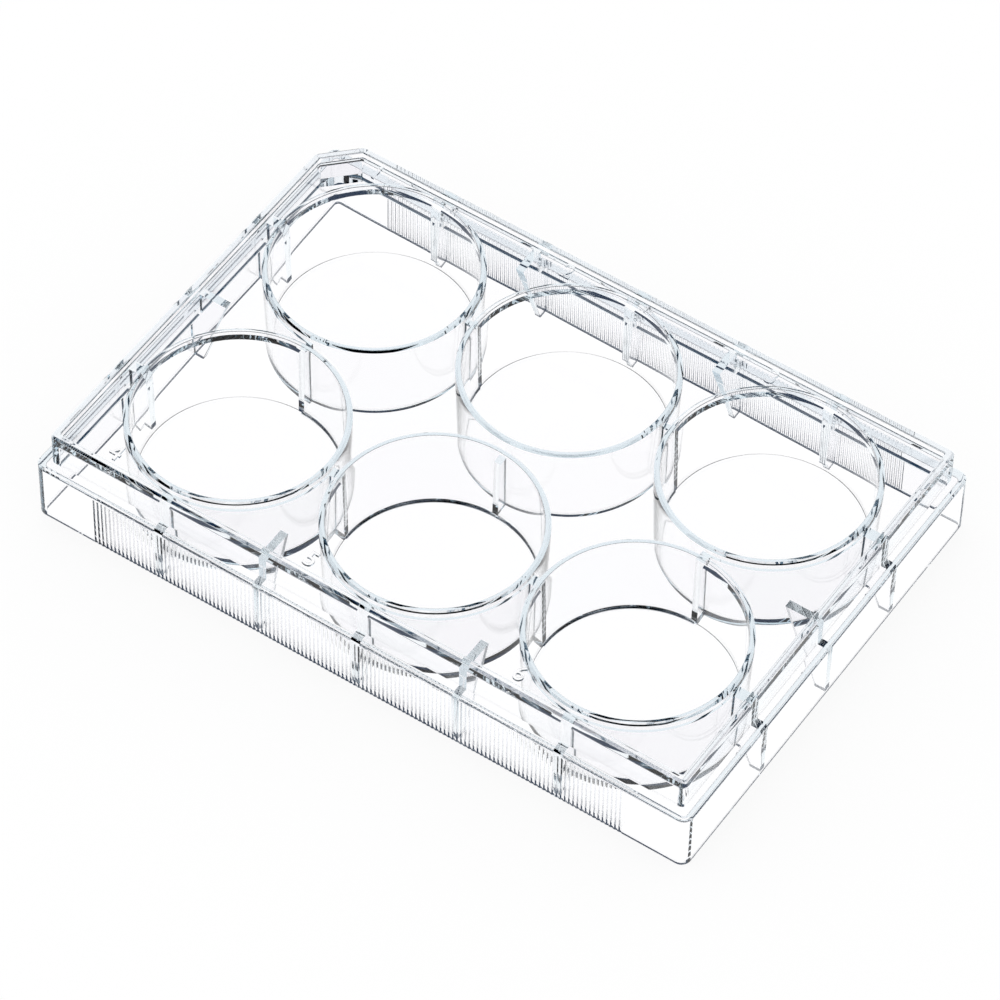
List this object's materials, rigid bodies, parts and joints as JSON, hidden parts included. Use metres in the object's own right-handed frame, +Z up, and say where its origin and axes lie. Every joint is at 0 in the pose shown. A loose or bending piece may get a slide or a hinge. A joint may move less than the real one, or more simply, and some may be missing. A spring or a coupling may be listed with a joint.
{
  "type": "well plate",
  "caption": "Clear rectangular culture plate with round flat-bottomed wells, a ribbed grip skirt, a stepped rim for a lid and one clipped corner.",
  "frame": {"origin": "centre of the footprint, on the surface the plate stands on", "axes": "+Z up out of the wells, +X along the long side, +Y towards the long side whose left end has the clipped corner"},
  "size_m": [0.1278, 0.0854, 0.019],
  "materials": {
    "clear_polystyrene": "clear, glossy, as moulded"
  },
  "bodies": {
    "root": {"well_plate": "clear_polystyrene"}
  },
  "joints": []
}
